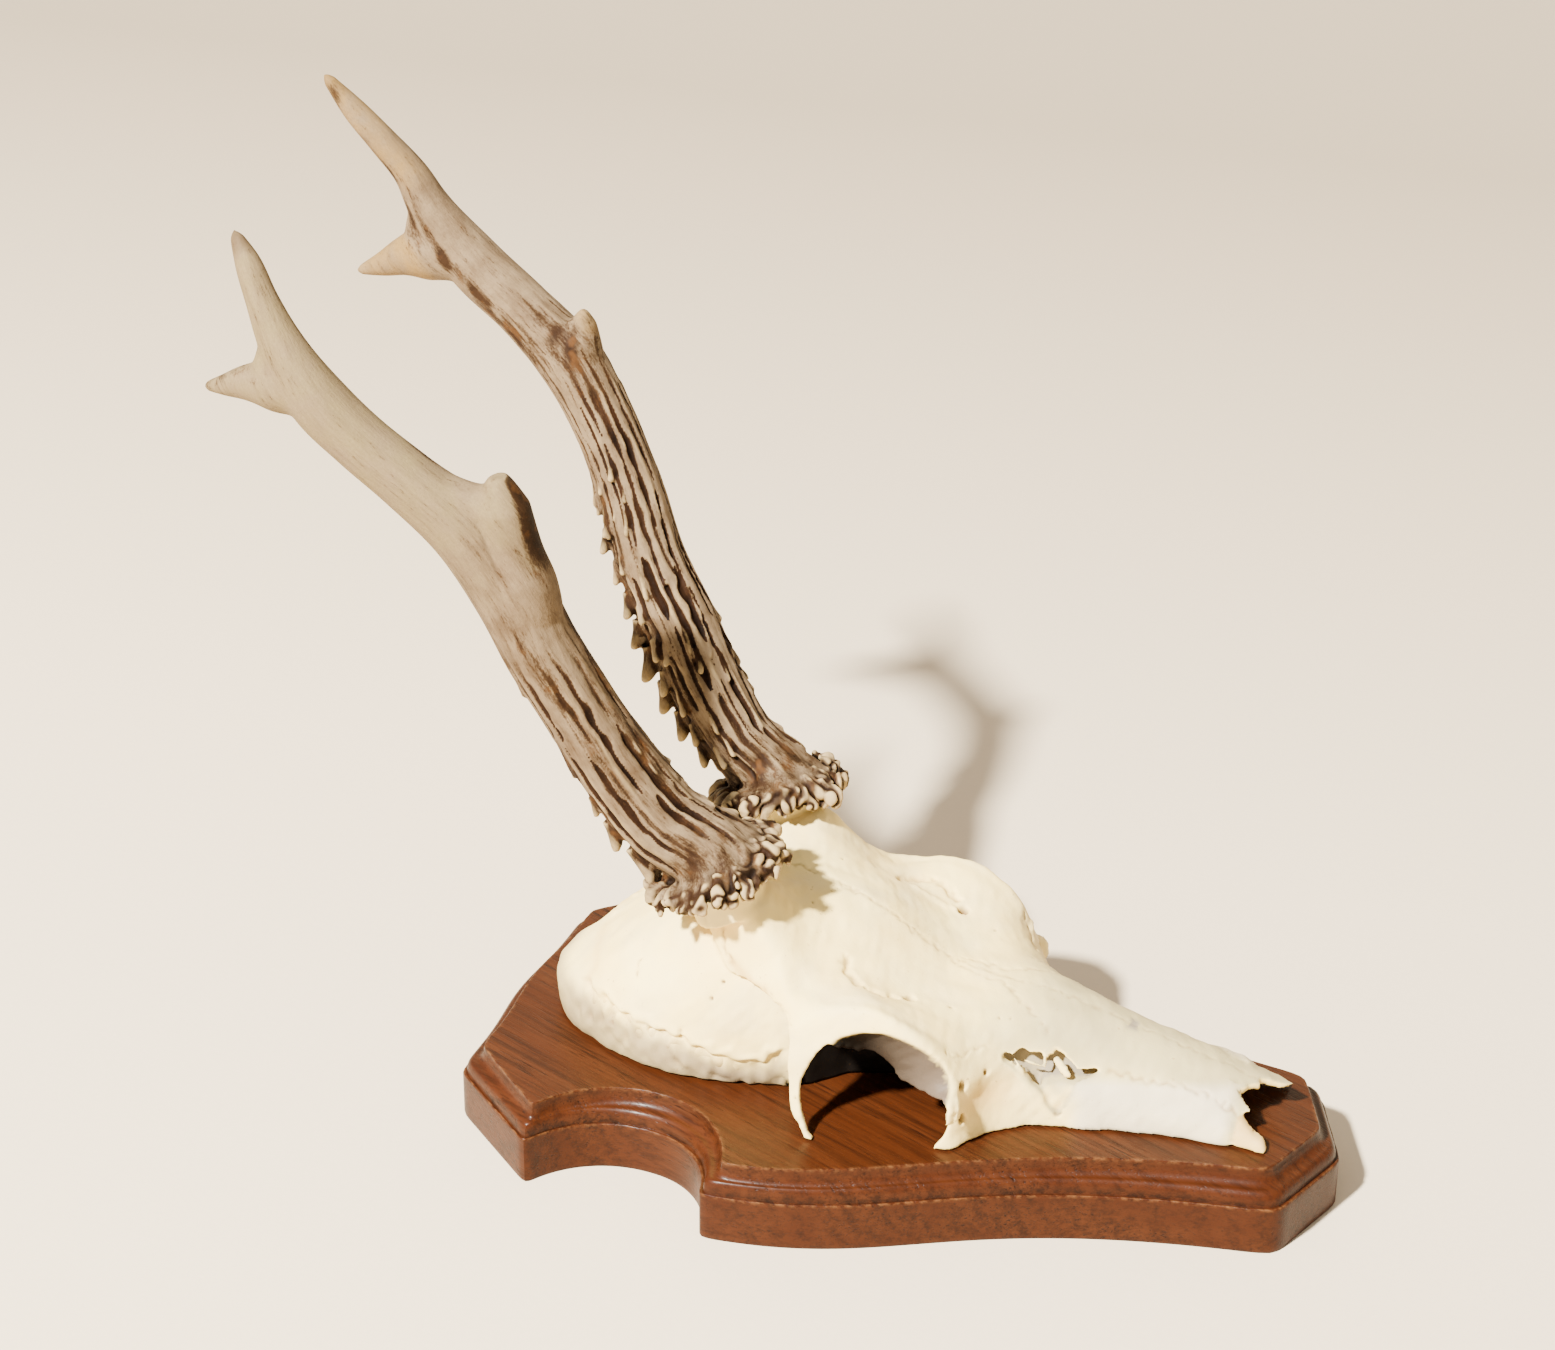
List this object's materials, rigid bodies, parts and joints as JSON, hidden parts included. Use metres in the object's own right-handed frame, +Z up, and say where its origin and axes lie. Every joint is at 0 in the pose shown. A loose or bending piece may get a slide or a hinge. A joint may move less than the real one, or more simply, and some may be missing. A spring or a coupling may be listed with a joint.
{
  "type": "roe deer antler trophy",
  "caption": "Roe buck's sawn white skull with its pair of grooved, pearled antlers, mounted on a moulded oak shield that lies on its back.",
  "frame": {"origin": "middle of the shield's flat back, in its plane", "axes": "+Z up out of the shield's face, +X along the shield towards the skull's nose, animal's right side at -Y"},
  "size_m": [0.2999, 0.143, 0.2613],
  "materials": {
    "oak": "stained red-brown, satin lacquer",
    "bone": "bleached bone, matt",
    "antler": "grooved brown antler with pale ridges and tips"
  },
  "bodies": {
    "root": {"shield": "oak", "skull": "bone", "right_antler_beam": "antler", "right_antler_rear_tine": "antler", "right_antler_top_tine": "antler", "left_antler_beam": "antler", "left_antler_rear_tine": "antler", "left_antler_top_tine": "antler"}
  },
  "joints": []
}
